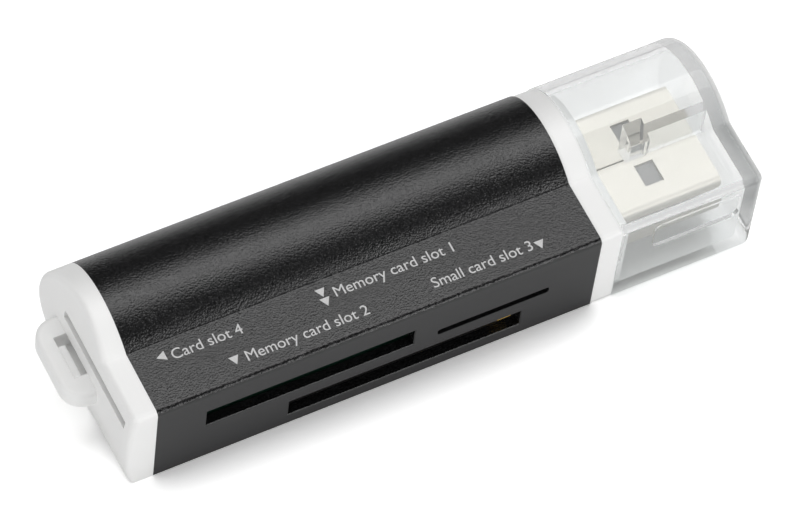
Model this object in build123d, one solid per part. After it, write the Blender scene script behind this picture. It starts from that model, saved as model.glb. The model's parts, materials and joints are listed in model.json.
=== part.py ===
from build123d import *
import math
import os

# USB memory card reader in stick form, in millimetres.
# Design frame: X runs along the stick from the sleeve's left end to the plug, -Y is the slotted
# front, Z is up from the mid-plane. At the end everything is laid down the way the stick rests.

# Card openings in the front, and the sockets behind them
WIDE_SLOT_WIDTH = 24.4
WIDE_SLOT_HEIGHT = 2.45
WIDE_SLOT_SETBACK = 2.7
WIDE_SOCKET_DEPTH = 13.0
WIDE_SOCKET_FLOOR = 0.77
WIDE_CONTACT_COUNT = 9
WIDE_PITCH = 2.5
SWITCH_WIDTH = 1.4
SWITCH_MARGIN = 0.9
SWITCH_REACH = 0.7
SWITCH_LIFT = 1.0

STICK_SLOT_WIDTH = 21.55
STICK_SLOT_HEIGHT = 2.54
STICK_SILL = 0.17
STICK_SOCKET_DEPTH = 9.4
STICK_CONTACT_COUNT = 10
STICK_PITCH = 1.9

MICRO_SLOT_WIDTH = 11.8
MICRO_SLOT_HEIGHT = 0.88
MICRO_SLOT_CORNER = 0.3
MICRO_SILL = 0.22
MICRO_SOCKET_DEPTH = 9.0
MICRO_CONTACT_COUNT = 8
MICRO_PITCH = 1.1

# Card opening in the end cap, with its socket stacked on the stick socket
END_SLOT_WIDTH = 13.1
END_SLOT_HEIGHT = 1.1
END_SLOT_SETBACK = 1.3
END_SOCKET_WIDTH = 12.6
END_SOCKET_RAIL = 0.75
END_SOCKET_DEPTH = 11.4
END_SOCKET_FLOOR = 0.3
END_CONTACT_COUNT = 11
END_PITCH = 1.0

SOCKET_RAIL = 1.0
SOCKET_GAP = 0.1
SOCKET_SPACING = 0.5
SOCKET_TAIL = 1.0
SHIELD_SHEET = 0.15
CONTACT_SHEET = 0.15
CONTACT_WIDTH = 0.5

# Circuit board
BOARD_THICKNESS = 0.8
BOARD_DROP = 0.25
BOARD_EDGE_GAP = 0.4
BOARD_BACK_GAP = 0.6
BOARD_LIP_GAP = 0.05
BOARD_FIT = 0.05
CHIP_LENGTH = 8.7
CHIP_BODY_WIDTH = 3.9
CHIP_SPAN = 6.0
CHIP_HEIGHT = 1.5
CHIP_LEAD_COUNT = 10
CHIP_PITCH = 0.635
CHIP_MARGIN = 0.45
CHIP_STANDOFF = 0.1
CHIP_LEAD_SHEET = 0.2
CRYSTAL_LENGTH = 3.2
CRYSTAL_WIDTH = 2.5
CRYSTAL_HEIGHT = 0.7
CRYSTAL_CHAMFER = 0.25
REGULATOR_LENGTH = 2.9
REGULATOR_WIDTH = 1.3
REGULATOR_HEIGHT = 1.1
PASSIVE_LENGTH = 1.6
PASSIVE_WIDTH = 0.8
PASSIVE_SPACING = 0.6
CAPACITOR_HEIGHT = 0.8
CAPACITOR_COUNT = 5
RESISTOR_HEIGHT = 0.45
RESISTOR_COUNT = 4
LIGHT_HEIGHT = 0.6

# Extruded sleeve, round at the back with a flat-sided flange at the front
SLEEVE_WALL = 1.0
HEADROOM = 0.33
BARREL_RISE = 2.05
EDGE_RADIUS = 0.6
CREASE_RADIUS = 0.3
SLOT_CHAMFER = 0.1

# Moulded end cap with its cord eye
END_CAP_LENGTH = 2.9
END_CURVE = 33.0
SPIGOT_LENGTH = 3.0
SPIGOT_WALL = 1.0
SPIGOT_FIT = 0.05
EYE_WIDTH = 9.25
EYE_REACH = 2.85
EYE_BAR = 1.55
EYE_THICKNESS = 2.2
EYE_HOLE_WIDTH = 4.75
EYE_POCKET = 1.4
EYE_CORNER = 2.2
EYE_ROUNDING = 0.5
EYE_CHAMFER = 0.3
EYE_OFFSET = 1.27
EYE_DROP = 1.7

# Plug and the collar that holds it
PLUG_WIDTH = 12.0
PLUG_HEIGHT = 4.5
PLUG_SHEET = 0.3
PLUG_BEND = 0.65
PLUG_REACH = 12.8
PLUG_BURIED = 5.9
PLUG_OFFSET_Y = -0.6
PLUG_OFFSET_Z = -0.5
PLUG_SEAM = 0.08
PLUG_REAR_GAP = 0.4
PLUG_FIT = 0.05
LATCH_HOLE_LENGTH = 2.0
LATCH_HOLE_WIDTH = 2.5
LATCH_HOLE_SETBACK = 5.1
LATCH_HOLE_SPACING = 5.12
TONGUE_THICKNESS = 1.9
TONGUE_SETBACK = 0.5
PLUG_CONTACT_WIDTH = 1.0
PLUG_CONTACT_SHEET = 0.25
PLUG_CONTACT_RISE = 0.1
PLUG_CONTACT_OUTER = 3.5
PLUG_CONTACT_INNER = 1.0
PLUG_TAIL = 1.6
TAB_LENGTH = 1.6
TAB_REACH = 1.1
COLLAR_LENGTH = 2.3
COLLAR_INSET = 0.1
NECK_LENGTH = 1.1

# Clear pull-off cap
CAP_WALL = 1.2
CAP_END_WALL = 1.9
CAP_ROUNDING = 1.1
CAP_FIT = 0.15
CAP_TIP_GAP = 0.7
CAP_STEP = 0.25
RIB_THICKNESS = 0.8
RIB_LENGTH = 8.4
RIB_CLEARANCE = 0.15
POST_SIZE = 2.0
RECESS_LENGTH = 9.3
RECESS_HEIGHT = 3.7
RECESS_DEPTH = 0.35
RECESS_START = 3.6
RECESS_SILL = 0.6
RECESS_CORNER = 0.8

# Levels worked out from the stack of board and sockets
board_top = -BOARD_DROP
board_bottom = board_top - BOARD_THICKNESS
stick_bottom = board_top + STICK_SILL
stick_top = stick_bottom + STICK_SLOT_HEIGHT
micro_bottom = board_top + MICRO_SILL
micro_top = micro_bottom + MICRO_SLOT_HEIGHT
wide_top = board_bottom - WIDE_SOCKET_FLOOR
wide_bottom = wide_top - WIDE_SLOT_HEIGHT
end_floor = stick_top + SHIELD_SHEET
end_bottom = end_floor + END_SOCKET_FLOOR
end_top = end_bottom + END_SLOT_HEIGHT
stack_half = max(end_top, -wide_bottom) + SHIELD_SHEET

# Section of the stick
flange_half = stack_half + HEADROOM + SLEEVE_WALL
barrel_radius = flange_half + BARREL_RISE
chip_zone = CHIP_SPAN + 2 * CHIP_MARGIN
section_width = (2 * SLEEVE_WALL + SOCKET_GAP + STICK_SOCKET_DEPTH + SOCKET_TAIL + chip_zone
                 + BOARD_BACK_GAP)
front = -section_width / 2
barrel_y = section_width / 2 - barrel_radius
mouth_y = front + SLEEVE_WALL + SOCKET_GAP

# Places along the stick
end_mouth_x = SPIGOT_LENGTH + SOCKET_GAP
stick_frame_x = end_mouth_x + SOCKET_RAIL + SOCKET_GAP
stick_x = stick_frame_x + SOCKET_RAIL + STICK_SLOT_WIDTH / 2
micro_x = stick_x + STICK_SLOT_WIDTH / 2 + 2 * SOCKET_RAIL + SOCKET_SPACING + MICRO_SLOT_WIDTH / 2
micro_end_x = micro_x + MICRO_SLOT_WIDTH / 2
wide_x = micro_end_x - WIDE_SLOT_SETBACK - WIDE_SLOT_WIDTH / 2
board_notch_x = micro_end_x + SOCKET_RAIL + SOCKET_GAP
plug_rear_x = board_notch_x + PLUG_REAR_GAP
shoulder_x = plug_rear_x + PLUG_BURIED
sleeve_length = shoulder_x - COLLAR_LENGTH
plug_tip_x = shoulder_x + PLUG_REACH
cap_end_x = plug_tip_x + CAP_TIP_GAP + CAP_END_WALL
end_face_x = -END_CAP_LENGTH

# Places across the stick
end_slot_y = front + END_SLOT_SETBACK + END_SLOT_WIDTH / 2
end_socket_y = mouth_y + END_SOCKET_RAIL + END_SOCKET_WIDTH / 2
board_front = front + SLEEVE_WALL + BOARD_EDGE_GAP
board_back = -front - SLEEVE_WALL - BOARD_BACK_GAP
chip_y = board_back - CHIP_MARGIN - CHIP_SPAN / 2
plug_top = PLUG_OFFSET_Z + PLUG_HEIGHT / 2
plug_bottom = PLUG_OFFSET_Z - PLUG_HEIGHT / 2
tongue_z = plug_top - PLUG_SHEET - TONGUE_THICKNESS


def block(x0, x1, y0, y1, z0, z1):
    """Box between two corners."""
    centre = Pos((x0 + x1) / 2, (y0 + y1) / 2, (z0 + z1) / 2)
    return centre * Box(x1 - x0, y1 - y0, z1 - z0)


def section(inset):
    """Outline of the stick, drawn in by an even inset: a round barrel joined to a sharp-footed flange."""
    left = front + inset
    half = flange_half - inset
    radius = barrel_radius - inset
    flange = Pos((left + barrel_y) / 2, 0) * Rectangle(barrel_y - left, 2 * half)
    outline = flange + Pos(barrel_y, 0) * Circle(radius)
    upper_edge = outline.vertices().sort_by_distance((left, half))[0]
    outline = fillet(upper_edge, max(EDGE_RADIUS - inset, EDGE_RADIUS / 3))
    crease_y = barrel_y - math.sqrt(radius ** 2 - half ** 2)
    creases = [outline.vertices().sort_by_distance((crease_y, side * half))[0] for side in (-1, 1)]
    return fillet(creases, CREASE_RADIUS + inset)


def run(inset, x0, x1):
    """Straight length of the section between two places along the stick."""
    return extrude(Plane.YZ.offset(x0) * section(inset), amount=x1 - x0)


def strip(points, thickness, width):
    """Bent sheet-metal strip: a centre line in the XY plane given a thickness, then a width in Z."""
    return extrude(trace(Polyline(*points), thickness), amount=width / 2, both=True)


def front_opening(outline, centre_x, bottom, height):
    """Cutter for a card slot through the sleeve's front wall."""
    outline = Pos(centre_x, bottom + height / 2) * outline
    reach = SLEEVE_WALL + SOCKET_GAP
    return extrude(Plane.XZ.offset(-front - SLEEVE_WALL / 2) * outline, amount=reach, both=True)


def make_sleeve():
    """Extruded metal sleeve with three milled card slots, the two tall ones with broken edges."""
    tube = run(0, 0, sleeve_length) - run(SLEEVE_WALL, 0, sleeve_length)
    wide = Rectangle(WIDE_SLOT_WIDTH, WIDE_SLOT_HEIGHT)
    stick = Rectangle(STICK_SLOT_WIDTH, STICK_SLOT_HEIGHT)
    micro = RectangleRounded(MICRO_SLOT_WIDTH, MICRO_SLOT_HEIGHT, MICRO_SLOT_CORNER)
    tube -= front_opening(wide, wide_x, wide_bottom, WIDE_SLOT_HEIGHT)
    tube -= front_opening(stick, stick_x, stick_bottom, STICK_SLOT_HEIGHT)
    rims = tube.edges().filter_by(
        lambda edge: math.isclose(edge.center().Y, front) and 0 < edge.bounding_box().min.X
        and edge.bounding_box().max.X < sleeve_length)
    tube = chamfer(rims, SLOT_CHAMFER)
    return tube - front_opening(micro, micro_x, micro_bottom, MICRO_SLOT_HEIGHT)


def board_groove(x0, x1):
    """Cutter for the grooves that take the board's long edges."""
    return block(x0, x1, board_front - BOARD_FIT, board_back + BOARD_FIT,
                 board_bottom - BOARD_FIT, board_top + BOARD_FIT)


def spigot(x0, x1):
    """Hollow tongue of a moulding that plugs into the sleeve."""
    outer = SLEEVE_WALL + SPIGOT_FIT
    return run(outer, x0, x1) - run(outer + SPIGOT_WALL, x0, x1) - board_groove(x0, x1)


def make_cord_eye():
    """Flat eye on the end cap, with rounded corners and a slot for a wrist cord."""
    plate_z = end_bottom - EYE_DROP - EYE_THICKNESS / 2
    root = END_CAP_LENGTH / 2
    length = EYE_REACH + root
    outline = Pos(end_face_x - EYE_REACH + length / 2, EYE_OFFSET) * Rectangle(length, EYE_WIDTH)
    outline = fillet(outline.vertices().sort_by(Axis.X)[:2], EYE_CORNER)
    plate = extrude(Plane.XY.offset(plate_z) * outline, amount=EYE_THICKNESS / 2, both=True)
    rim_limit = end_face_x + root - EYE_ROUNDING
    upper_rim = plate.faces().sort_by(Axis.Z)[-1].edges().filter_by(lambda edge: edge.center().X < rim_limit)
    plate = fillet(upper_rim, EYE_ROUNDING)
    lower_rim = plate.faces().sort_by(Axis.Z)[0].edges().filter_by(lambda edge: edge.center().X < rim_limit)
    plate = chamfer(lower_rim, EYE_CHAMFER)
    hole_x = end_face_x - (EYE_REACH - EYE_BAR) / 2
    hole = Pos(hole_x, EYE_OFFSET, plate_z) * Box(EYE_REACH - EYE_BAR, EYE_HOLE_WIDTH, 2 * EYE_THICKNESS)
    return plate - hole


def eye_pocket():
    """Cutter for the blind pocket in the end face that gives the cord room behind the eye's bar."""
    eye_top = end_bottom - EYE_DROP
    return block(end_face_x, end_face_x + EYE_POCKET, EYE_OFFSET - EYE_HOLE_WIDTH / 2,
                 EYE_OFFSET + EYE_HOLE_WIDTH / 2, eye_top - EYE_THICKNESS, eye_top)


def make_end_cap():
    """Moulded end cap: curved plate, cord eye with its pocket, spigot and the opening for the end card."""
    bulge = Pos(end_face_x + END_CURVE, 0, 0) * Rot(X=90) * Cylinder(END_CURVE, 2 * section_width)
    plate = run(0, end_face_x, 0) & bulge
    plate = fillet(plate.faces().sort_by(Axis.X)[0].edges(), EDGE_RADIUS)
    opening = block(end_face_x - SOCKET_GAP, end_mouth_x, end_slot_y - END_SLOT_WIDTH / 2,
                    end_slot_y + END_SLOT_WIDTH / 2, end_bottom, end_top)
    return plate + make_cord_eye() + spigot(0, SPIGOT_LENGTH) - opening - eye_pocket()


def make_collar():
    """Moulded collar: flange, neck that the clear cap grips, spigot and the plug's opening."""
    flange = run(COLLAR_INSET, sleeve_length, shoulder_x)
    neck = run(CAP_WALL + CAP_FIT, shoulder_x, shoulder_x + NECK_LENGTH)
    opening_width = PLUG_WIDTH + 2 * PLUG_FIT
    opening_height = PLUG_HEIGHT + 2 * PLUG_FIT
    outline = Pos(PLUG_OFFSET_Y, PLUG_OFFSET_Z) * RectangleRounded(opening_width, opening_height, PLUG_BEND)
    opening = extrude(Plane.YZ.offset(sleeve_length) * outline, amount=COLLAR_LENGTH + NECK_LENGTH)
    return flange + neck + spigot(sleeve_length - SPIGOT_LENGTH, sleeve_length) - opening


def make_clear_cap():
    """Clear cap: hollow shell with a rounded end, a rib over the plug and a grip recess."""
    shell = run(0, shoulder_x, cap_end_x)
    shell = fillet(shell.faces().sort_by(Axis.X)[-1].edges(), CAP_ROUNDING)
    inner_end = cap_end_x - CAP_END_WALL
    cavity = run(CAP_WALL, shoulder_x, inner_end)
    rib_bottom = plug_top + RIB_CLEARANCE
    rib = block(inner_end - RIB_LENGTH, inner_end, PLUG_OFFSET_Y - RIB_THICKNESS / 2,
                PLUG_OFFSET_Y + RIB_THICKNESS / 2, rib_bottom, barrel_radius)
    post = block(inner_end - RIB_LENGTH, inner_end - RIB_LENGTH + POST_SIZE, PLUG_OFFSET_Y - POST_SIZE / 2,
                 PLUG_OFFSET_Y + POST_SIZE / 2, rib_bottom, barrel_radius)
    step = block(shoulder_x, shoulder_x + CAP_STEP, front, front + CAP_WALL,
                 RECESS_SILL, flange_half - EDGE_RADIUS)
    recess_x = shoulder_x + RECESS_START + RECESS_LENGTH / 2
    outline = Pos(recess_x, RECESS_SILL + RECESS_HEIGHT / 2) * RectangleRounded(
        RECESS_LENGTH, RECESS_HEIGHT, RECESS_CORNER)
    recess = extrude(Plane.XZ.offset(-front) * outline, amount=-RECESS_DEPTH)
    return shell - (cavity - rib - post) - step - recess


def make_plug_shell():
    """Folded steel shell of the plug, with its seam, latch holes and solder tabs."""
    bore_width = PLUG_WIDTH - 2 * PLUG_SHEET
    bore_height = PLUG_HEIGHT - 2 * PLUG_SHEET
    outer = RectangleRounded(PLUG_WIDTH, PLUG_HEIGHT, PLUG_BEND)
    inner = RectangleRounded(bore_width, bore_height, PLUG_BEND - PLUG_SHEET)
    place = Plane.YZ.offset(plug_rear_x) * Pos(PLUG_OFFSET_Y, PLUG_OFFSET_Z)
    shell = extrude(place * (outer - inner), amount=plug_tip_x - plug_rear_x)
    hole = Box(LATCH_HOLE_LENGTH, LATCH_HOLE_WIDTH, 2 * PLUG_HEIGHT)
    hole_x = plug_tip_x - LATCH_HOLE_SETBACK - LATCH_HOLE_LENGTH / 2
    for side in (-1, 1):
        hole_y = PLUG_OFFSET_Y + side * LATCH_HOLE_SPACING / 2
        shell -= Pos(hole_x, hole_y, PLUG_OFFSET_Z) * hole
        wall_y = PLUG_OFFSET_Y + side * (PLUG_WIDTH / 2 - PLUG_SHEET / 2)
        tip_y = PLUG_OFFSET_Y + side * (PLUG_WIDTH / 2 + TAB_REACH)
        shell += block(plug_rear_x + TAB_LENGTH / 2, plug_rear_x + 1.5 * TAB_LENGTH, min(wall_y, tip_y),
                       max(wall_y, tip_y), board_top, board_top + PLUG_SHEET)
    shell -= block(plug_rear_x, plug_tip_x, PLUG_OFFSET_Y - PLUG_SEAM / 2, PLUG_OFFSET_Y + PLUG_SEAM / 2,
                   plug_top - PLUG_SHEET, plug_top)
    return shell


def contact_places():
    """Places of the plug's four contacts across its tongue."""
    return [PLUG_OFFSET_Y + place for place in
            (-PLUG_CONTACT_OUTER, -PLUG_CONTACT_INNER, PLUG_CONTACT_INNER, PLUG_CONTACT_OUTER)]


def make_plug_insulator():
    """Moulded tongue under the shell's seam side, with a full-height block at the rear."""
    half = PLUG_WIDTH / 2 - PLUG_SHEET
    rear = plug_rear_x + PLUG_REAR_GAP
    tongue = block(rear, plug_tip_x - TONGUE_SETBACK, PLUG_OFFSET_Y - half, PLUG_OFFSET_Y + half,
                   tongue_z, plug_top - PLUG_SHEET)
    rear_block = block(rear, shoulder_x, PLUG_OFFSET_Y - half, PLUG_OFFSET_Y + half,
                       plug_bottom + PLUG_SHEET, plug_top - PLUG_SHEET)
    corner = PLUG_BEND - PLUG_SHEET
    rear_block = fillet(rear_block.edges().filter_by(Axis.X), corner)
    long_edges = tongue.edges().filter_by(Axis.X).sort_by(Axis.Z)
    tongue = fillet(long_edges[2:], corner)
    body = tongue + rear_block
    ceiling = tongue_z - PLUG_CONTACT_RISE + PLUG_CONTACT_SHEET
    for place in contact_places():
        body -= block(rear, plug_tip_x - 2 * TONGUE_SETBACK, place - PLUG_CONTACT_WIDTH / 2,
                      place + PLUG_CONTACT_WIDTH / 2, tongue_z - PLUG_CONTACT_RISE - PLUG_FIT, ceiling)
    return body


def make_plug_contact(place):
    """Plug contact: a flat blade in its groove, cranked down to a tail under the board."""
    blade_z = tongue_z - PLUG_CONTACT_RISE + PLUG_CONTACT_SHEET / 2
    tail_z = board_bottom - PLUG_CONTACT_SHEET / 2
    crank_x = board_notch_x + PLUG_REAR_GAP
    points = [(plug_tip_x - 2 * TONGUE_SETBACK, blade_z), (crank_x + PLUG_REAR_GAP / 2, blade_z),
              (crank_x, tail_z), (crank_x - PLUG_TAIL, tail_z)]
    blade = strip(points, PLUG_CONTACT_SHEET, PLUG_CONTACT_WIDTH)
    return Pos(0, place, 0) * Rot(X=90) * blade


def make_board():
    """Circuit board with a lip up to the front wall and a notch that takes the plug between two arms."""
    board = block(SPIGOT_LENGTH / 5, sleeve_length, board_front, board_back, board_bottom, board_top)
    lip_start = SPIGOT_LENGTH + SOCKET_GAP
    board += block(lip_start, sleeve_length - lip_start, front + SLEEVE_WALL + BOARD_LIP_GAP, board_front,
                   board_bottom, board_top)
    half = PLUG_WIDTH / 2 + 2 * PLUG_FIT
    notch = block(board_notch_x, sleeve_length, PLUG_OFFSET_Y - half, PLUG_OFFSET_Y + half,
                  board_bottom, board_top)
    return board - notch


def socket_frame(width, height, depth, floor, rail=SOCKET_RAIL):
    """Moulded socket frame: two rails and a rear wall, open at the mouth, with a contact passage."""
    outer = width + 2 * (rail - SHIELD_SHEET)
    rear = SOCKET_RAIL
    total = floor + height
    frame = block(-outer / 2, outer / 2, 0, depth, 0, total)
    frame -= block(-width / 2, width / 2, 0, depth - rear, floor, total)
    passage = 3 * CONTACT_SHEET
    frame -= block(-width / 2, width / 2, depth - rear, depth, floor, floor + passage)
    return frame


def socket_shield(width, height, depth, floor, rail=SOCKET_RAIL):
    """Folded sheet over a socket: a top plate with two spring windows and two side skirts."""
    outer = width + 2 * rail
    total = floor + height
    cover = block(-outer / 2, outer / 2, 0, depth, total, total + SHIELD_SHEET)
    window = Box(SOCKET_RAIL, depth / 3, 4 * SHIELD_SHEET)
    skirt = height / 2
    for side in (-1, 1):
        cover -= Pos(side * width / 4, depth / 2, total) * window
        edge = side * (outer - SHIELD_SHEET) / 2
        cover += Pos(edge, depth / 2, total - skirt / 2) * Box(SHIELD_SHEET, depth, skirt)
    return cover


def spring_finger(width, depth, floor, touch, lift):
    """Spring contact that runs from its solder tail, through the rear wall, to a raised touch point."""
    level = floor + CONTACT_SHEET
    points = [(depth + SOCKET_TAIL, CONTACT_SHEET / 2), (depth + SOCKET_TAIL / 2, CONTACT_SHEET / 2),
              (depth + SOCKET_TAIL / 4, level), (touch, level + lift),
              (touch - SOCKET_TAIL, level + lift / 2)]
    finger = strip([(-y, z) for y, z in points], CONTACT_SHEET, width)
    return Rot(Z=-90) * Rot(X=90) * finger


def socket_contacts(count, pitch, depth, floor, lift):
    """Row of spring contacts in a socket."""
    finger = spring_finger(CONTACT_WIDTH, depth, floor, depth / 3, lift)
    start = -(count - 1) * pitch / 2
    return [Pos(start + place * pitch, 0, 0) * finger for place in range(count)]


def wide_contacts():
    """Contacts of the wide socket, with the leaf of its card switch in the mouth beside them."""
    lift = WIDE_SLOT_HEIGHT / 4
    contacts = socket_contacts(WIDE_CONTACT_COUNT, WIDE_PITCH, WIDE_SOCKET_DEPTH, WIDE_SOCKET_FLOOR, lift)
    touch = SOCKET_TAIL - SWITCH_REACH
    leaf = spring_finger(SWITCH_WIDTH, WIDE_SOCKET_DEPTH, WIDE_SOCKET_FLOOR, touch, SWITCH_LIFT)
    leaf_x = SWITCH_MARGIN + SWITCH_WIDTH / 2 - WIDE_SLOT_WIDTH / 2
    return contacts + [Pos(leaf_x, 0, 0) * leaf]


def lay(place, shapes):
    """Put one shape or a list of shapes at a place."""
    if isinstance(shapes, list):
        return [place * shape for shape in shapes]
    return place * shapes


def make_sockets():
    """Frames, shields and contacts of the four card sockets, each seated on what carries it."""
    stick = Pos(stick_x, mouth_y, board_top)
    stick_height = STICK_SILL + STICK_SLOT_HEIGHT
    micro = Pos(micro_x, mouth_y, board_top)
    micro_height = MICRO_SILL + MICRO_SLOT_HEIGHT
    wide = Pos(wide_x, mouth_y, board_bottom) * Rot(Y=180)
    end = Pos(end_mouth_x, end_socket_y, end_floor) * Rot(Z=-90)
    pieces = {
        "stick_socket_frame": lay(stick, socket_frame(
            STICK_SLOT_WIDTH, stick_height, STICK_SOCKET_DEPTH, 0)),
        "stick_socket_shield": lay(stick, socket_shield(
            STICK_SLOT_WIDTH, stick_height, STICK_SOCKET_DEPTH, 0)),
        "stick_socket_contacts": lay(stick, socket_contacts(
            STICK_CONTACT_COUNT, STICK_PITCH, STICK_SOCKET_DEPTH, 0, STICK_SLOT_HEIGHT / 4)),
        "micro_socket_frame": lay(micro, socket_frame(
            MICRO_SLOT_WIDTH, micro_height, MICRO_SOCKET_DEPTH, 0)),
        "micro_socket_shield": lay(micro, socket_shield(
            MICRO_SLOT_WIDTH, micro_height, MICRO_SOCKET_DEPTH, 0)),
        "micro_socket_contacts": lay(micro, socket_contacts(
            MICRO_CONTACT_COUNT, MICRO_PITCH, MICRO_SOCKET_DEPTH, 0, MICRO_SLOT_HEIGHT / 3)),
        "wide_socket_frame": lay(wide, socket_frame(
            WIDE_SLOT_WIDTH, WIDE_SLOT_HEIGHT, WIDE_SOCKET_DEPTH, WIDE_SOCKET_FLOOR)),
        "wide_socket_shield": lay(wide, socket_shield(
            WIDE_SLOT_WIDTH, WIDE_SLOT_HEIGHT, WIDE_SOCKET_DEPTH, WIDE_SOCKET_FLOOR)),
        "wide_socket_contacts": lay(wide, wide_contacts()),
        "end_socket_shield": lay(end, socket_shield(
            END_SOCKET_WIDTH, END_SLOT_HEIGHT, END_SOCKET_DEPTH, END_SOCKET_FLOOR, END_SOCKET_RAIL)),
    }
    pieces.update(make_end_socket(end))
    return pieces


def make_end_socket(end):
    """Frame and contacts of the raised end socket, which stands on two legs and fronts its own tails."""
    frame = end * socket_frame(
        END_SOCKET_WIDTH, END_SLOT_HEIGHT, END_SOCKET_DEPTH, END_SOCKET_FLOOR, END_SOCKET_RAIL)
    for side in (-1, 1):
        leg_y = end_socket_y + side * (END_SOCKET_WIDTH + END_SOCKET_RAIL) / 2
        frame += block(end_mouth_x, end_mouth_x + SOCKET_RAIL, leg_y - END_SOCKET_RAIL / 2,
                       leg_y + END_SOCKET_RAIL / 2, board_top, end_floor)
    riser_x = end_mouth_x + SOCKET_RAIL / 2
    finger_z = end_bottom + CONTACT_SHEET
    touch_x = end_mouth_x + END_SOCKET_DEPTH / 2
    lift = END_SLOT_HEIGHT / 3
    row = (END_CONTACT_COUNT - 1) * END_PITCH
    frame -= block(end_mouth_x, end_mouth_x + SOCKET_RAIL, end_socket_y - row / 2 - CONTACT_WIDTH,
                   end_socket_y + row / 2 + CONTACT_WIDTH, end_floor, end_bottom)
    tail_z = board_top + CONTACT_SHEET / 2
    points = [(riser_x + SOCKET_RAIL / 2, tail_z), (riser_x, tail_z),
              (riser_x, finger_z), (touch_x, finger_z), (touch_x + SOCKET_TAIL, finger_z + lift),
              (touch_x + 2 * SOCKET_TAIL, finger_z + lift / 2)]
    finger = Rot(X=90) * strip(points, CONTACT_SHEET, CONTACT_WIDTH)
    contacts = [Pos(0, end_socket_y - row / 2 + place * END_PITCH, 0) * finger
                for place in range(END_CONTACT_COUNT)]
    return {"end_socket_frame": frame, "end_socket_contacts": contacts}


def make_controller():
    """Controller chip with two rows of gull-wing leads."""
    body = block(-CHIP_LENGTH / 2, CHIP_LENGTH / 2, -CHIP_BODY_WIDTH / 2, CHIP_BODY_WIDTH / 2,
                 CHIP_STANDOFF, CHIP_HEIGHT)
    knee = (CHIP_BODY_WIDTH + CHIP_SPAN) / 4
    points = [(CHIP_BODY_WIDTH / 2, CHIP_HEIGHT / 2), (knee, CHIP_HEIGHT / 2),
              (knee + CHIP_LEAD_SHEET, CHIP_LEAD_SHEET / 2), (CHIP_SPAN / 2, CHIP_LEAD_SHEET / 2)]
    lead = Rot(Z=90) * Rot(X=90) * strip(points, CHIP_LEAD_SHEET, CHIP_PITCH / 2)
    start = -(CHIP_LEAD_COUNT - 1) * CHIP_PITCH / 2
    leads = []
    for turn in (0, 180):
        for place in range(CHIP_LEAD_COUNT):
            leads.append(Rot(Z=turn) * Pos(start + place * CHIP_PITCH, 0, 0) * lead)
    return Pos(stick_x, chip_y, board_top) * (body + leads)


def soldered(length, width, height, x, y):
    """Small rectangular part soldered to the top of the board."""
    return Pos(x, y, board_top + height / 2) * Box(length, width, height)


def passive_row(count, height, start_x, row_y):
    """Row of small chip parts, set side by side along the stick."""
    pitch = PASSIVE_WIDTH + PASSIVE_SPACING
    return [soldered(PASSIVE_WIDTH, PASSIVE_LENGTH, height, start_x + place * pitch, row_y)
            for place in range(count)]


def make_small_parts():
    """Timing crystal, regulator, light and two rows of chip parts, in line beside the controller."""
    crystal_x = stick_x + (CHIP_LENGTH + CRYSTAL_WIDTH) / 2 + 2 * CHIP_MARGIN
    regulator_x = crystal_x + (CRYSTAL_WIDTH + REGULATOR_WIDTH) / 2 + 2 * PASSIVE_SPACING
    row_x = regulator_x + (REGULATOR_WIDTH + PASSIVE_WIDTH) / 2 + 2 * PASSIVE_SPACING
    light_x = row_x + RESISTOR_COUNT * (PASSIVE_WIDTH + PASSIVE_SPACING)
    crystal = soldered(CRYSTAL_WIDTH, CRYSTAL_LENGTH, CRYSTAL_HEIGHT, crystal_x, chip_y)
    back_y = chip_y + (PASSIVE_LENGTH + PASSIVE_SPACING) / 2
    near_y = chip_y - (PASSIVE_LENGTH + PASSIVE_SPACING) / 2
    return {
        "crystal": chamfer(crystal.edges().filter_by(Axis.Z), CRYSTAL_CHAMFER),
        "voltage_regulator": soldered(
            REGULATOR_WIDTH, REGULATOR_LENGTH, REGULATOR_HEIGHT, regulator_x, chip_y),
        "capacitors": passive_row(CAPACITOR_COUNT, CAPACITOR_HEIGHT, row_x, back_y),
        "resistors": passive_row(RESISTOR_COUNT, RESISTOR_HEIGHT, row_x, near_y),
        "status_light": soldered(PASSIVE_WIDTH, PASSIVE_LENGTH, LIGHT_HEIGHT, light_x, near_y),
    }


def resting_pose(shapes):
    """Turn and shift that lay the stick on its round barrel and on its lower front edge."""
    reach = barrel_y - front
    slope = math.atan2(flange_half, reach) - math.asin(barrel_radius / math.hypot(reach, flange_half))
    turn = Rot(X=-math.degrees(slope))
    box = Compound([turn * shape for shape in shapes]).bounding_box()
    return Pos(-box.center().X, -box.center().Y, -box.min.Z) * turn


pieces = {
    "sleeve": make_sleeve(),
    "end_cap": make_end_cap(),
    "collar": make_collar(),
    "clear_cap": make_clear_cap(),
    "usb_shell": make_plug_shell(),
    "usb_insulator": make_plug_insulator(),
    "main_board": make_board(),
    "controller_chip": make_controller(),
}
for number, place in enumerate(contact_places(), start=1):
    pieces[f"usb_contact_{number}"] = make_plug_contact(place)
pieces.update(make_sockets())
pieces.update(make_small_parts())

pose = resting_pose([pieces["sleeve"], pieces["end_cap"], pieces["clear_cap"]])
os.makedirs("parts", exist_ok=True)
for name, shape in pieces.items():
    solids = shape if isinstance(shape, list) else shape.solids()
    node = Compound([pose * solid for solid in solids])
    node.label = name
    export_step(node, f"parts/{name}.step")
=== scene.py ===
"""Looks of a stick-shaped USB memory card reader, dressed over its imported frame."""

import json
import logging
import math
from dataclasses import dataclass
from enum import Enum
from typing import Any

import bmesh
import bpy
from mathutils import Matrix, Vector


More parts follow.
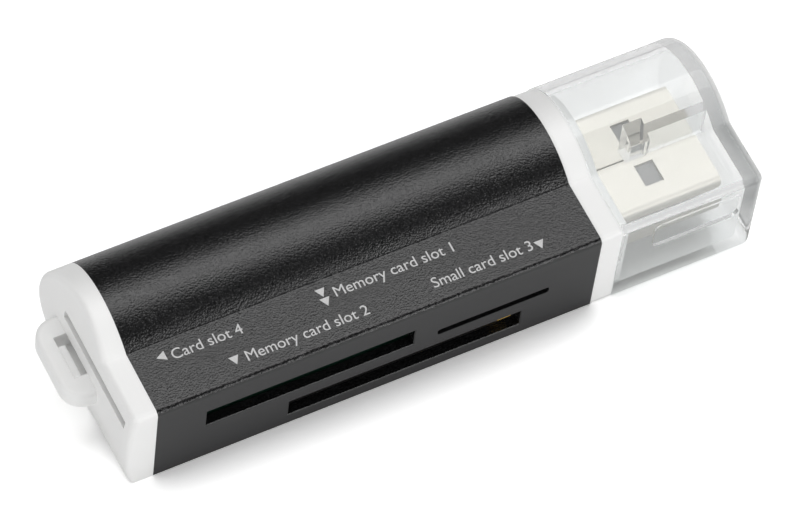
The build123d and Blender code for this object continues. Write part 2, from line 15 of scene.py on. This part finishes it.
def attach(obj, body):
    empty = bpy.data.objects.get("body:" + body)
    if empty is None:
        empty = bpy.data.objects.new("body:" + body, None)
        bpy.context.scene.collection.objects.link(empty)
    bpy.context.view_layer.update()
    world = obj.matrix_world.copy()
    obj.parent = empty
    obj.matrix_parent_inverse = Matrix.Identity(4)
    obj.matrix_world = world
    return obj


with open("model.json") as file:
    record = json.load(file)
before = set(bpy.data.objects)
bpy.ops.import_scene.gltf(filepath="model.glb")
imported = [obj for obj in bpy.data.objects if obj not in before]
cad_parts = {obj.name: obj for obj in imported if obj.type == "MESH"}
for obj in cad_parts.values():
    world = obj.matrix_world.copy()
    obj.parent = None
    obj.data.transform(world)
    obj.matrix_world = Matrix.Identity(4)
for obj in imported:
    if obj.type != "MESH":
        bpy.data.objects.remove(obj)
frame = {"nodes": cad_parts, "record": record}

LOG = logging.getLogger("card_reader")
MM = 0.001
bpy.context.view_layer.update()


def linear(hex_colour: str) -> tuple[float, float, float, float]:
    """Turn an sRGB hex colour into linear RGBA.

    Args:
        hex_colour: Colour written as "#rrggbb".

    Returns:
        Linear red, green and blue, with an alpha of 1.
    """
    channels = [int(hex_colour[place:place + 2], 16) / 255 for place in (1, 3, 5)]
    levels = [c / 12.92 if c <= 0.04045 else ((c + 0.055) / 1.055) ** 2.4 for c in channels]
    return (levels[0], levels[1], levels[2], 1.0)


def add_node(
        tree: bpy.types.NodeTree, kind: str, inputs: dict | None = None, **settings: Any) -> bpy.types.Node:
    """Add a node to a tree, with its settings, values and links.

    Args:
        tree: Node tree that gets the node.
        kind: Blender's type name of the node.
        inputs: Values or linked sockets by the input's name or number.
        **settings: Attributes of the node itself.

    Returns:
        The new node.
    """
    node = tree.nodes.new(kind)
    for name, value in settings.items():
        setattr(node, name, value)
    for key, value in (inputs or {}).items():
        if isinstance(value, bpy.types.NodeSocket):
            tree.links.new(value, node.inputs[key])
        else:
            node.inputs[key].default_value = value
    return node


@dataclass(frozen=True)
class StickAxes:
    """Directions and planes of the stick as it lies, so that pieces can be placed square to it."""

    along: Vector
    back: Vector
    up: Vector
    left_end: float
    front: float
    panel: float

    @classmethod
    def from_frame(cls) -> "StickAxes":
        """Read the stick's directions from its mounts and its planes from the sleeve.

        Returns:
            The axes, with distances in metres along each direction.
        """
        mounts = {mount["name"]: mount for mount in frame["record"]["mounts"]}
        along = Vector((1, 0, 0))
        back = -Vector(mounts["wide_card_slot"]["axis"]).normalized()
        up = along.cross(back)
        places = [vertex.co for vertex in frame["nodes"]["sleeve"].data.vertices]
        heights = [place.dot(up) for place in places]
        underside = Vector(mounts["flat_underside"]["pos_m"]).dot(up)
        return cls(along, back, up,
                   left_end=min(place.dot(along) for place in places),
                   front=min(place.dot(back) for place in places),
                   panel=min(heights) + max(heights) - underside)

    @property
    def tilt(self) -> float:
        """Angle by which the stick is turned about its length."""
        return math.atan2(self.back.z, self.back.y)

    def panel_matrix(self) -> Matrix:
        """Matrix from panel coordinates to the frame.

        Returns:
            A matrix whose origin is the panel's front left corner, with X along the stick, Y towards the
            barrel and Z out of the panel.
        """
        turn = Matrix((self.along, self.back, self.up)).transposed()
        corner = self.along * self.left_end + self.back * self.front + self.up * self.panel
        return Matrix.Translation(corner) @ turn.to_4x4()


@dataclass(frozen=True)
class Finish:
    """A surface finish that can make its own material."""

    name: str

    def material(self) -> bpy.types.Material:
        """Make the finish's material.

        Returns:
            A node material named for the finish.
        """
        material = bpy.data.materials.new(self.name)
        material.use_nodes = True
        material.node_tree.nodes.clear()
        surface = self.shade(material.node_tree)
        add_node(material.node_tree, "ShaderNodeOutputMaterial", {"Surface": surface})
        return material

    def shade(self, tree: bpy.types.NodeTree) -> bpy.types.NodeSocket:
        """Build the finish's nodes.

        Args:
            tree: Empty node tree of the material.

        Returns:
            The shader output that the surface shows.
        """
        raise NotImplementedError


@dataclass(frozen=True)
class BlastedAnodising(Finish):
    """Black anodised aluminium: bead-blasted all round, with a smooth milled front."""

    tilt: float
    front: float
    peak_colour: str = "#1f1f20"
    pit_colour: str = "#020202"
    speckle_low: float = 0.35
    speckle_high: float = 0.65
    # The milled front is a real satin finish, but its colour is painted lighter than the black to stand in
    # for the floor light it reflects.
    milled_colour_with_painted_floor_light: str = "#2c2c2d"
    ior: float = 1.57
    # Real blasting leaves pits near 0.05 mm. They are drawn coarser, so that they show at the photo's size.
    grit: float = 0.17 * MM
    grain_depth: float = 0.055 * MM
    blasted_roughness: float = 0.23
    milled_roughness: float = 0.6
    milled_edge: float = 0.03 * MM

    def shade(self, tree: bpy.types.NodeTree) -> bpy.types.NodeSocket:
        """Blasted grain that glitters at the edges, faded out on the milled front."""
        # The eye gets a deep black with soft light bands and a dusting of grain, and an even satin front,
        # painted lighter to stand in for the floor light it reflects.
        coords = add_node(tree, "ShaderNodeTexCoord").outputs["Object"]
        square = add_node(tree, "ShaderNodeMapping", {"Vector": coords, "Rotation": (-self.tilt, 0, 0)})
        across = add_node(tree, "ShaderNodeSeparateXYZ", {"Vector": square.outputs[0]}).outputs["Y"]
        fade_start = self.front + self.milled_edge
        fade_end = fade_start + 2 * self.milled_edge
        blasted = add_node(tree, "ShaderNodeMapRange", {
            "Value": across, "From Min": fade_start, "From Max": fade_end})
        grain = add_node(tree, "ShaderNodeTexNoise", {
            "Vector": coords, "Scale": 1 / self.grit, "Detail": 2.0})
        bump = add_node(tree, "ShaderNodeBump", {
            "Strength": blasted.outputs[0], "Distance": self.grain_depth, "Height": grain.outputs[0]})
        roughness = add_node(tree, "ShaderNodeMapRange", {
            "Value": blasted.outputs[0], "To Min": self.milled_roughness, "To Max": self.blasted_roughness})
        speckle = add_node(tree, "ShaderNodeMapRange", {
            "Value": grain.outputs[0], "From Min": self.speckle_low, "From Max": self.speckle_high})
        speckled = add_node(tree, "ShaderNodeMix", {
            0: speckle.outputs[0], 6: linear(self.pit_colour), 7: linear(self.peak_colour)}, data_type="RGBA")
        # Painted floor light: the milled front takes the lighter colour, the blasted rest the speckled black.
        colour = add_node(tree, "ShaderNodeMix", {
            0: blasted.outputs[0], 6: linear(self.milled_colour_with_painted_floor_light), 7: speckled.outputs[2]}, data_type="RGBA")
        shader = add_node(tree, "ShaderNodeBsdfPrincipled", {
            "Base Color": colour.outputs[2], "Roughness": roughness.outputs[0], "IOR": self.ior,
            "Normal": bump.outputs[0]})
        return shader.outputs[0]


@dataclass(frozen=True)
class MouldedPlastic(Finish):
    """Moulded plastic with a faint spark-eroded texture and slightly uneven shine."""

    colour: str
    shade_colour: str
    roughness: float = 0.4
    roughness_drift: float = 0.04
    drift_size: float = 6.0 * MM
    ior: float = 1.53
    # Spark-eroded moulds are finer than this, and would vanish at the photo's size.
    texture: float = 0.25 * MM
    texture_depth: float = 0.003 * MM
    subsurface: float = 0.0
    subsurface_depth: float = 0.6 * MM

    def shade(self, tree: bpy.types.NodeTree) -> bpy.types.NodeSocket:
        """Fine texture in the bump, with a slow drift of colour and shine."""
        # The eye gets a smooth moulded surface that is never quite flat in tone.
        coords = add_node(tree, "ShaderNodeTexCoord").outputs["Object"]
        drift = add_node(tree, "ShaderNodeTexNoise", {
            "Vector": coords, "Scale": 1 / self.drift_size, "Detail": 1.0})
        colour = add_node(tree, "ShaderNodeMix", {
            0: drift.outputs[0], 6: linear(self.shade_colour), 7: linear(self.colour)}, data_type="RGBA")
        fine = add_node(tree, "ShaderNodeTexNoise", {
            "Vector": coords, "Scale": 1 / self.texture, "Detail": 2.0})
        bump = add_node(tree, "ShaderNodeBump", {
            "Strength": 1.0, "Distance": self.texture_depth, "Height": fine.outputs[0]})
        roughness = add_node(tree, "ShaderNodeMapRange", {
            "Value": drift.outputs[0], "To Min": self.roughness - self.roughness_drift,
            "To Max": self.roughness + self.roughness_drift})
        shader = add_node(tree, "ShaderNodeBsdfPrincipled", {
            "Base Color": colour.outputs[2], "Roughness": roughness.outputs[0], "IOR": self.ior,
            "Normal": bump.outputs[0], "Subsurface Weight": self.subsurface,
            "Subsurface Radius": (1.0, 1.0, 1.0), "Subsurface Scale": self.subsurface_depth})
        return shader.outputs[0]


@dataclass(frozen=True)
class ClearPlastic(Finish):
    """Clear moulded polystyrene: polished, and lets lamp light through."""

    tint: str = "#fbfcfc"
    shadow_tint: str = "#edeeee"
    trapped_tint: str = "#fdfdfd"
    # Lower than the resin's own 1.59, so that the mirrors inside the walls stay as pale as in the photo.
    ior: float = 1.28
    roughness: float = 0.06
    clearness: float = 0.9
    # A ray that has been mirrored more often than this inside the wall goes straight on.
    inner_mirrors: float = 0.5

    def shade(self, tree: bpy.types.NodeTree) -> bpy.types.NodeSocket:
        """Slightly hazy glass for sight, and a see-through stand-in for shadows and trapped light."""
        # The eye gets a pale, faintly milky cap with bright rims and the plug plain to see inside it.
        body = add_node(tree, "ShaderNodeBsdfPrincipled", {
            "Base Color": linear(self.tint), "Roughness": self.roughness, "IOR": self.ior,
            "Transmission Weight": self.clearness})
        path = add_node(tree, "ShaderNodeLightPath").outputs
        lighting = add_node(tree, "ShaderNodeMath", {
            0: path["Is Shadow Ray"], 1: path["Is Diffuse Ray"]}, operation="MAXIMUM")
        loss = add_node(tree, "ShaderNodeMix", {
            0: lighting.outputs[0], 6: linear(self.trapped_tint), 7: linear(self.shadow_tint)},
            data_type="RGBA")
        clear = add_node(tree, "ShaderNodeBsdfTransparent", {"Color": loss.outputs[2]})
        trapped = add_node(tree, "ShaderNodeMath", {
            0: path["Glossy Depth"], 1: self.inner_mirrors}, operation="GREATER_THAN")
        through = add_node(tree, "ShaderNodeMath", {
            0: lighting.outputs[0], 1: trapped.outputs[0]}, operation="MAXIMUM")
        mix = add_node(tree, "ShaderNodeMixShader", {
            0: through.outputs[0], 1: body.outputs[0], 2: clear.outputs[0]})
        return mix.outputs[0]


@dataclass(frozen=True)
class RolledMetal(Finish):
    """Plated sheet metal with fine rolling lines along the stick."""

    colour: str
    roughness: float = 0.3
    metallic: float = 1.0
    roughness_drift: float = 0.06
    # Real rolling lines are a few hundredths of a millimetre apart. They are drawn wider, so that they show.
    line_width: float = 0.09 * MM
    line_length: float = 3.0 * MM
    line_depth: float = 0.0012 * MM

    def shade(self, tree: bpy.types.NodeTree) -> bpy.types.NodeSocket:
        """Stretched noise for the rolling lines, in bump and in shine."""
        # The eye gets a satin sheet whose light is drawn out across the stick.
        coords = add_node(tree, "ShaderNodeTexCoord").outputs["Object"]
        stretched = add_node(tree, "ShaderNodeMapping", {
            "Vector": coords, "Scale": (1 / self.line_length, 1 / self.line_width, 1 / self.line_width)})
        lines = add_node(tree, "ShaderNodeTexNoise", {
            "Vector": stretched.outputs[0], "Scale": 1.0, "Detail": 2.0})
        bump = add_node(tree, "ShaderNodeBump", {
            "Strength": 1.0, "Distance": self.line_depth, "Height": lines.outputs[0]})
        roughness = add_node(tree, "ShaderNodeMapRange", {
            "Value": lines.outputs[0], "To Min": self.roughness - self.roughness_drift,
            "To Max": self.roughness + self.roughness_drift})
        shader = add_node(tree, "ShaderNodeBsdfPrincipled", {
            "Base Color": linear(self.colour), "Metallic": self.metallic, "Roughness": roughness.outputs[0],
            "Normal": bump.outputs[0]})
        return shader.outputs[0]


@dataclass(frozen=True)
class ScreenInk(Finish):
    """White screen-printing ink with a slightly uneven cover."""

    colour: str = "#dcdcdc"
    thin_colour: str = "#c4c4c4"
    roughness: float = 0.6
    ior: float = 1.5
    mesh_pitch: float = 0.2 * MM

    def shade(self, tree: bpy.types.NodeTree) -> bpy.types.NodeSocket:
        """Slightly uneven cover of ink."""
        # The eye gets a flat off-white print, a shade greyer where the ink is thin.
        coords = add_node(tree, "ShaderNodeTexCoord").outputs["Object"]
        cover = add_node(tree, "ShaderNodeTexNoise", {
            "Vector": coords, "Scale": 1 / self.mesh_pitch, "Detail": 1.0})
        colour = add_node(tree, "ShaderNodeMix", {
            0: cover.outputs[0], 6: linear(self.thin_colour), 7: linear(self.colour)}, data_type="RGBA")
        shader = add_node(tree, "ShaderNodeBsdfPrincipled", {
            "Base Color": colour.outputs[2], "Roughness": self.roughness, "IOR": self.ior})
        return shader.outputs[0]


def dress(material: bpy.types.Material, *nodes: str) -> None:
    """Give CAD nodes one material and report them.

    Args:
        material: The material to show.
        *nodes: Names of the CAD nodes.
    """
    for name in nodes:
        piece = frame["nodes"][name]
        if not piece.material_slots:
            piece.data.materials.append(material)
        for slot in piece.material_slots:
            slot.material = material
        LOG.info("%s wears %s", name, material.name)


class Pointing(Enum):
    """Way that a printed arrow points on the panel, as a turn about the panel's normal."""

    FRONT = 0.0
    LEFT = -math.pi / 2


@dataclass(frozen=True)
class Arrows:
    """A stack of printed arrows, placed by its first arrow's middle in millimetres on the panel."""

    x: float
    y: float
    pointing: Pointing = Pointing.FRONT
    count: int = 1


@dataclass(frozen=True)
class Words:
    """A line of printed words, placed by the start of its baseline in millimetres on the panel."""

    text: str
    x: float
    y: float


@dataclass
class PanelPrint:
    """White legends on the flat panel: plain words and arrows that point at the card slots."""

    axes: StickAxes
    capital_height: float = 1.16
    font_capital: float = 0.729
    ink_film: float = 0.012
    curve_steps: int = 6
    arrow_width: float = 1.02
    arrow_length: float = 0.92
    arrow_step: float = 1.05
    words: tuple[Words, ...] = (
        Words("Card slot 4", 3.75, 4.65),
        Words("Memory card slot 2", 9.95, 1.75),
        Words("Memory card slot 1", 20.45, 4.65),
        Words("Small card slot 3", 29.3, 1.8),
    )
    arrows: tuple[Arrows, ...] = (
        Arrows(2.98, 5.4, Pointing.LEFT),
        Arrows(8.94, 2.45),
        Arrows(19.42, 5.75, count=2),
        Arrows(40.6, 2.2),
    )

    def build(self) -> list[bpy.types.Object]:
        """Make the words and arrows and lay them on the panel.

        Returns:
            The two printed pieces, riding on the reader.
        """
        ink = ScreenInk("white_screen_ink").material()
        pieces = [self.print_words(ink), self.print_arrows(ink)]
        for piece in pieces:
            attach(piece, "reader")
            LOG.info("%s printed on the panel", piece.name)
        return pieces

    def print_words(self, ink: bpy.types.Material) -> bpy.types.Object:
        """Set the words in type and turn them into one thin mesh.

        Args:
            ink: Material of the print.

        Returns:
            The printed words.
        """
        joined = bmesh.new()
        for line in self.words:
            curve = bpy.data.curves.new("set_words", "FONT")
            curve.body = line.text
            curve.size = self.capital_height / self.font_capital
            curve.extrude = self.ink_film / 2
            curve.resolution_u = self.curve_steps
            carrier = bpy.data.objects.new("set_words", curve)
            bpy.context.scene.collection.objects.link(carrier)
            bpy.context.view_layer.update()
            evaluated = carrier.evaluated_get(bpy.context.evaluated_depsgraph_get())
            solid = bpy.data.meshes.new_from_object(evaluated)
            solid.transform(Matrix.Translation((line.x, line.y, self.ink_film / 2)))
            joined.from_mesh(solid)
            bpy.data.objects.remove(carrier)
            bpy.data.curves.remove(curve)
            bpy.data.meshes.remove(solid)
        bmesh.ops.remove_doubles(joined, verts=joined.verts, dist=self.ink_film / 20)
        mesh = bpy.data.meshes.new("panel_words")
        joined.to_mesh(mesh)
        joined.free()
        return self.lay_on_panel(mesh, ink)

    def print_arrows(self, ink: bpy.types.Material) -> bpy.types.Object:
        """Make every stack of arrows with one node tree and join them.

        Args:
            ink: Material of the print.

        Returns:
            The printed arrows.
        """
        tree = self.arrow_tree()
        joined = bmesh.new()
        for stack in self.arrows:
            carrier = bpy.data.objects.new("arrow_stack", bpy.data.meshes.new("arrow_stack"))
            bpy.context.scene.collection.objects.link(carrier)
            modifier = carrier.modifiers.new("arrows", "NODES")
            modifier.node_group = tree
            values = {"Count": stack.count, "Step": self.arrow_step, "Width": self.arrow_width,
                      "Length": self.arrow_length, "Film": self.ink_film, "Turn": stack.pointing.value,
                      "Ink": ink}
            for item in tree.interface.items_tree:
                if item.in_out == "INPUT" and item.name in values:
                    modifier[item.identifier] = values[item.name]
            bpy.context.view_layer.update()
            evaluated = carrier.evaluated_get(bpy.context.evaluated_depsgraph_get())
            solid = bpy.data.meshes.new_from_object(evaluated)
            solid.transform(Matrix.Translation((stack.x, stack.y, self.ink_film / 2)))
            joined.from_mesh(solid)
            bpy.data.objects.remove(carrier)
            bpy.data.meshes.remove(solid)
        mesh = bpy.data.meshes.new("panel_arrows")
        joined.to_mesh(mesh)
        joined.free()
        return self.lay_on_panel(mesh, ink)

    @staticmethod
    def arrow_tree() -> bpy.types.GeometryNodeTree:
        """Build the node tree that stacks thin triangular arrows.

        Returns:
            A tree with inputs for the count, step, width, length, film, turn and ink.
        """
        tree = bpy.data.node_groups.new("printed_arrows", "GeometryNodeTree")
        sockets = (("Count", "NodeSocketInt"), ("Step", "NodeSocketFloat"), ("Width", "NodeSocketFloat"),
                   ("Length", "NodeSocketFloat"), ("Film", "NodeSocketFloat"), ("Turn", "NodeSocketFloat"),
                   ("Ink", "NodeSocketMaterial"))
        for name, kind in sockets:
            tree.interface.new_socket(name, in_out="INPUT", socket_type=kind)
        tree.interface.new_socket("Geometry", in_out="OUTPUT", socket_type="NodeSocketGeometry")
        given = add_node(tree, "NodeGroupInput").outputs
        step = add_node(tree, "ShaderNodeMath", {0: given["Step"], 1: -1.0}, operation="MULTIPLY")
        offset = add_node(tree, "ShaderNodeCombineXYZ", {"Y": step.outputs[0]})
        places = add_node(tree, "GeometryNodeMeshLine", {
            "Count": given["Count"], "Offset": offset.outputs[0]})
        prism = add_node(tree, "GeometryNodeMeshCylinder", {
            "Vertices": 3, "Radius": 1.0, "Depth": given["Film"]})
        # A three-sided prism of radius 1 is 1.5 long and the root of 3 wide, with a corner on +X.
        length = add_node(tree, "ShaderNodeMath", {0: given["Length"], 1: 1.5}, operation="DIVIDE")
        width = add_node(tree, "ShaderNodeMath", {0: given["Width"], 1: math.sqrt(3)}, operation="DIVIDE")
        size = add_node(tree, "ShaderNodeCombineXYZ", {
            "X": length.outputs[0], "Y": width.outputs[0], "Z": 1.0})
        shaped = add_node(tree, "GeometryNodeTransform", {
            "Geometry": prism.outputs[0], "Scale": size.outputs[0]})
        aim = add_node(tree, "ShaderNodeMath", {0: given["Turn"], 1: -math.pi / 2}, operation="ADD")
        turn = add_node(tree, "ShaderNodeCombineXYZ", {"Z": aim.outputs[0]})
        aimed = add_node(tree, "GeometryNodeTransform", {
            "Geometry": shaped.outputs[0], "Rotation": turn.outputs[0]})
        copies = add_node(tree, "GeometryNodeInstanceOnPoints", {
            "Points": places.outputs[0], "Instance": aimed.outputs[0]})
        real = add_node(tree, "GeometryNodeRealizeInstances", {"Geometry": copies.outputs[0]})
        inked = add_node(tree, "GeometryNodeSetMaterial", {
            "Geometry": real.outputs[0], "Material": given["Ink"]})
        add_node(tree, "NodeGroupOutput", {"Geometry": inked.outputs[0]})
        return tree

    def lay_on_panel(self, mesh: bpy.types.Mesh, ink: bpy.types.Material) -> bpy.types.Object:
        """Move a mesh from millimetres on the panel to its place in the frame.

        Args:
            mesh: Print in panel millimetres.
            ink: Material of the print.

        Returns:
            An object at the origin that holds the print.
        """
        mesh.transform(self.axes.panel_matrix() @ Matrix.Scale(MM, 4))
        mesh.materials.clear()
        mesh.materials.append(ink)
        piece = bpy.data.objects.new(mesh.name, mesh)
        bpy.context.scene.collection.objects.link(piece)
        return piece


@dataclass
class Casing:
    """Sleeve, end cap and collar: what holds the reader together."""

    axes: StickAxes

    def dress(self) -> None:
        """Give the casing its black anodising and white ABS."""
        anodising = BlastedAnodising(
            "bead_blasted_black_anodising", tilt=self.axes.tilt, front=self.axes.front)
        white = MouldedPlastic("white_moulded_abs", "#fbfbfa", "#f8f8f7", roughness=0.42, subsurface=0.1)
        dress(anodising.material(), "sleeve")
        dress(white.material(), "end_cap", "collar")


@dataclass
class ClearCap:
    """Pull-off cap over the plug."""

    def dress(self) -> None:
        """Give the cap its clear plastic."""
        dress(ClearPlastic("clear_polished_polystyrene").material(), "clear_cap")


@dataclass
class Plug:
    """Type A plug: folded shell, tongue and four contacts."""

    contact_count: int = 4

    def dress(self) -> None:
        """Give the plug its plated steel, grey tongue and gilt contacts."""
        # Dull plating scatters part of the light, so the shell stays pale with the cap off as well.
        shell = RolledMetal("nickel_plated_steel", "#b9b6ae", roughness=0.45, metallic=0.5)
        dress(shell.material(), "usb_shell")
        tongue = MouldedPlastic("grey_moulded_nylon", "#8f8f8d", "#868685", roughness=0.5)
        dress(tongue.material(), "usb_insulator")
        gilt = RolledMetal("gold_plated_bronze", "#d9b45f", roughness=0.25).material()
        dress(gilt, *(f"usb_contact_{number + 1}" for number in range(self.contact_count)))


@dataclass
class Electronics:
    """Board with its four card sockets and soldered parts, seen through the slots."""

    sockets: tuple[str, ...] = ("stick", "micro", "wide", "end")

    def dress(self) -> None:
        """Give the board and everything on it its own finish."""
        mask = MouldedPlastic("green_solder_mask", "#0f3b2c", "#0c3326", roughness=0.35, texture=0.6 * MM)
        black = MouldedPlastic("black_moulded_nylon", "#121212", "#0d0d0d", roughness=0.55)
        resin = MouldedPlastic("black_moulded_epoxy", "#17171a", "#121214", roughness=0.6)
        ceramic = MouldedPlastic("tan_fired_ceramic", "#a5835a", "#97764f", roughness=0.5)
        lens = MouldedPlastic("milky_epoxy_lens", "#eef0ee", "#e6e8e6", roughness=0.25)
        shield = RolledMetal("tinned_steel_sheet", "#bdbdbb", roughness=0.35).material()
        gilt = RolledMetal("gold_plated_spring", "#d9b45f", roughness=0.28).material()
        nylon = black.material()
        for socket in self.sockets:
            dress(nylon, f"{socket}_socket_frame")
            dress(shield, f"{socket}_socket_shield")
            dress(gilt, f"{socket}_socket_contacts")
        dress(mask.material(), "main_board")
        dress(resin.material(), "controller_chip", "voltage_regulator", "resistors")
        dress(ceramic.material(), "capacitors")
        dress(lens.material(), "status_light")
        dress(shield, "crystal")


@dataclass(frozen=True)
class Softbox:
    """Rectangular studio lamp, placed by its direction from the reader."""

    name: str
    towards: tuple[float, float, float]
    distance: float
    width: float
    height: float
    radiance: float

    def build(self) -> None:
        """Hang the lamp, facing the reader, with its width level."""
        facing = Vector(self.towards).normalized()
        level = Vector((0, 0, 1)).cross(facing)
        level = level.normalized() if level.length > 0.5 else Vector((1, 0, 0))
        level = (level - facing * level.dot(facing)).normalized()
        upright = facing.cross(level)
        lamp = bpy.data.lights.new(self.name, "AREA")
        lamp.shape = "RECTANGLE"
        lamp.size = self.width
        lamp.size_y = self.height
        lamp.energy = self.radiance * math.pi * self.width * self.height
        holder = bpy.data.objects.new(self.name, lamp)
        turn = Matrix((level, upright, facing)).transposed().to_4x4()
        holder.matrix_world = Matrix.Translation(facing * self.distance) @ turn
        bpy.context.scene.collection.objects.link(holder)
        LOG.info("%s hung", self.name)


@dataclass
class Studio:
    """Pale floor, soft lamps and the camera."""

    azimuth: float = math.radians(-26.619)
    elevation: float = math.radians(49.699)
    roll: float = math.radians(-0.194)
    distance: float = 560.63 * MM
    aim: tuple[float, float, float] = (0.707 * MM, -0.674 * MM, 6.757 * MM)
    lens: float = 266.43
    floor_reach: float = 4.0
    floor_drop: float = 0.01 * MM
    # What the floor throws back on the reader, and what it shows through the cap and to the camera.
    floor_colour: str = "#fafafa"
    floor_behind_cap: float = 1.45
    floor_white: float = 1.8
    # What the room gives to matt surfaces, to mirrors, to mirrors in the cap and to sight through the cap.
    room_level: float = 0.25
    mirror_level: float = 0.07
    cap_mirror_level: float = 1.8
    backdrop_level: float = 0.75
    cap_wall_faces: float = 2.0
    lamps: tuple[Softbox, ...] = (
        Softbox("overhead_softbox", (0.15, 0.09, 0.97), 0.8, 0.9, 0.4, 3.1),
        Softbox("front_softbox", (0.42, -0.88, 0.22), 0.9, 0.7, 0.22, 5.2),
        Softbox("left_softbox", (-0.9, -0.4, 0.12), 0.9, 0.8, 0.5, 2.3),
        Softbox("right_softbox", (0.9, -0.35, 0.15), 0.9, 0.6, 0.5, 1.1),
    )

    def build(self) -> None:
        """Set up floor, room, lamps and camera."""
        self.lay_floor()
        self.light_room()
        for lamp in self.lamps:
            lamp.build()
        self.place_camera()

    def lay_floor(self) -> None:
        """Lay a white floor that keeps the reader's shadow."""
        reach = self.floor_reach
        mesh = bpy.data.meshes.new("studio_floor")
        corners = [(-reach, -reach), (reach, -reach), (reach, reach), (-reach, reach)]
        mesh.from_pydata([(x, y, -self.floor_drop) for x, y in corners], [], [(0, 1, 2, 3)])
        material = bpy.data.materials.new("white_paper_sweep")
        material.use_nodes = True
        tree = material.node_tree
        tree.nodes.clear()
        white = (self.floor_white, self.floor_white, self.floor_white, 1.0)
        pale = (self.floor_behind_cap, self.floor_behind_cap, self.floor_behind_cap, 1.0)
        path = add_node(tree, "ShaderNodeLightPath").outputs
        dimmed = add_node(tree, "ShaderNodeMix", {
            0: path["Is Transmission Ray"], 6: linear(self.floor_colour), 7: pale}, data_type="RGBA")
        colour = add_node(tree, "ShaderNodeMix", {
            0: path["Is Camera Ray"], 6: dimmed.outputs[2], 7: white}, data_type="RGBA")
        paper = add_node(tree, "ShaderNodeBsdfDiffuse", {"Color": colour.outputs[2]})
        add_node(tree, "ShaderNodeOutputMaterial", {"Surface": paper.outputs[0]})
        mesh.materials.append(material)
        floor = bpy.data.objects.new("studio_floor", mesh)
        bpy.context.scene.collection.objects.link(floor)

    def light_room(self) -> None:
        """Fill the room with even grey light, with a white backdrop where it is seen."""
        world = bpy.data.worlds.new("studio_room")
        world.use_nodes = True
        tree = world.node_tree
        tree.nodes.clear()
        path = add_node(tree, "ShaderNodeLightPath").outputs
        mirrored = add_node(tree, "ShaderNodeMapRange", {
            "Value": path["Transmission Depth"], "From Max": self.cap_wall_faces, "To Min": self.mirror_level,
            "To Max": self.cap_mirror_level})
        room = add_node(tree, "ShaderNodeMapRange", {
            "Value": path["Is Glossy Ray"], "To Min": self.room_level, "To Max": mirrored.outputs[0]})
        behind_cap = add_node(tree, "ShaderNodeMapRange", {
            "Value": path["Is Transmission Ray"], "To Min": room.outputs[0], "To Max": self.backdrop_level})
        level = add_node(tree, "ShaderNodeMapRange", {
            "Value": path["Is Camera Ray"], "To Min": behind_cap.outputs[0], "To Max": 1.0})
        light = add_node(tree, "ShaderNodeBackground", {
            "Color": (1, 1, 1, 1), "Strength": level.outputs[0]})
        add_node(tree, "ShaderNodeOutputWorld", {"Surface": light.outputs[0]})
        bpy.context.scene.world = world

    def place_camera(self) -> None:
        """Stand the camera at the photograph's angle."""
        level = math.cos(self.elevation)
        height = math.sin(self.elevation)
        back = Vector((math.sin(self.azimuth) * level, -math.cos(self.azimuth) * level, height))
        right = Vector((math.cos(self.azimuth), math.sin(self.azimuth), 0))
        up = back.cross(right)
        turn = Matrix((right, up, back)).transposed() @ Matrix.Rotation(self.roll, 3, "Z")
        data = bpy.data.cameras.new("photo_camera")
        data.lens = self.lens
        camera = bpy.data.objects.new("photo_camera", data)
        camera.matrix_world = Matrix.Translation(Vector(self.aim) + back * self.distance) @ turn.to_4x4()
        bpy.context.scene.collection.objects.link(camera)
        bpy.context.scene.camera = camera


def main() -> None:
    """Build and dress the reader in order, then set the studio."""
    logging.basicConfig(level=logging.INFO, format="%(message)s")
    bpy.context.scene.view_settings.view_transform = "Standard"
    axes = StickAxes.from_frame()
    Casing(axes).dress()
    PanelPrint(axes).build()
    ClearCap().dress()
    Plug().dress()
    Electronics().dress()
    Studio().build()


if __name__ == "__main__":
    main()
